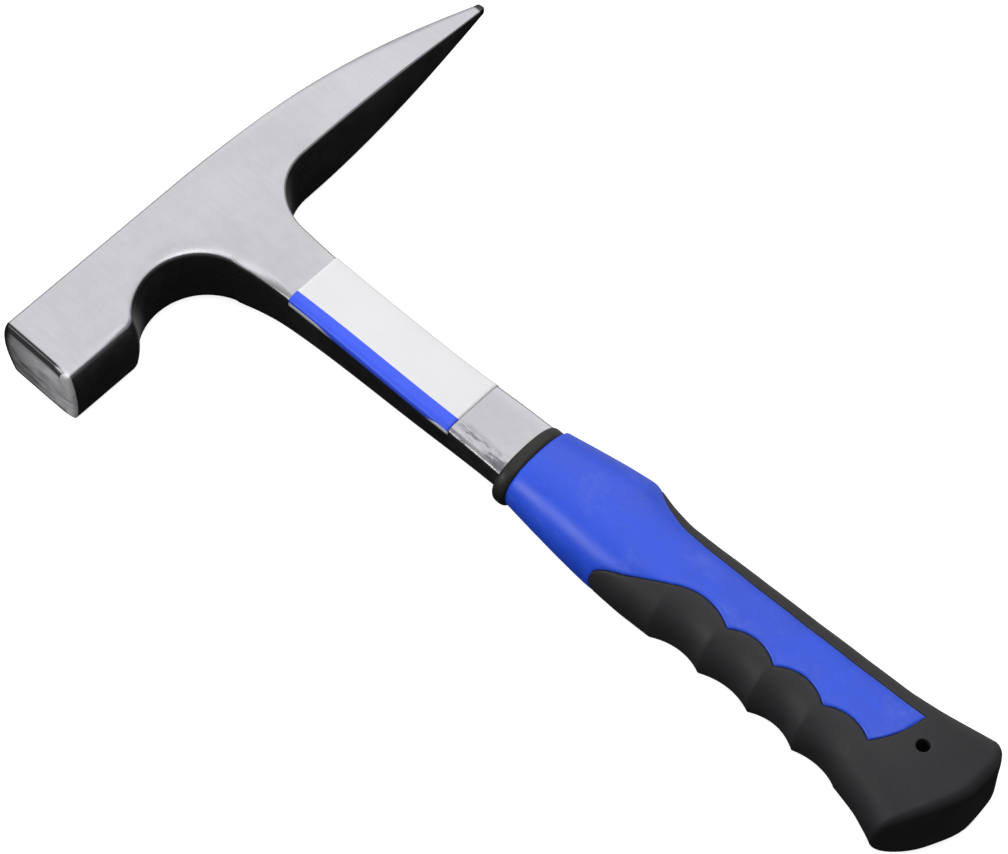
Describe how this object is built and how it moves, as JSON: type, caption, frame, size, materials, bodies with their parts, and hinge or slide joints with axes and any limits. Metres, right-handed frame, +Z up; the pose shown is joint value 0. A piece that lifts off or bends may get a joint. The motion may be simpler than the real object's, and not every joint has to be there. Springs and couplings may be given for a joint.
{
  "type": "rock hammer",
  "caption": "Forged steel rock hammer with a square poll, a long pointed pick and a soft two-tone moulded grip with finger grooves and a hang hole.",
  "frame": {"origin": "under the middle of the hammer's bounding box, on the surface that it lies on", "axes": "+Z up, away from the surface it lies on; +X along the handle towards the head; +Y towards the striking face"},
  "size_m": [0.2972, 0.1828, 0.0283],
  "materials": {
    "forged_steel": "satin ground and polished",
    "core_plastic": "as moulded",
    "blue_plastic": "satin moulded",
    "black_rubber": "soft matte",
    "collar_rubber": "soft matte",
    "label_vinyl": "white film with a blue printed edge stripe"
  },
  "bodies": {
    "root": {"steel_forging": "forged_steel", "grip_core": "core_plastic", "grip_body": "blue_plastic", "grip_overmould": "black_rubber", "collar": "collar_rubber", "neck_label": "label_vinyl"}
  },
  "joints": []
}
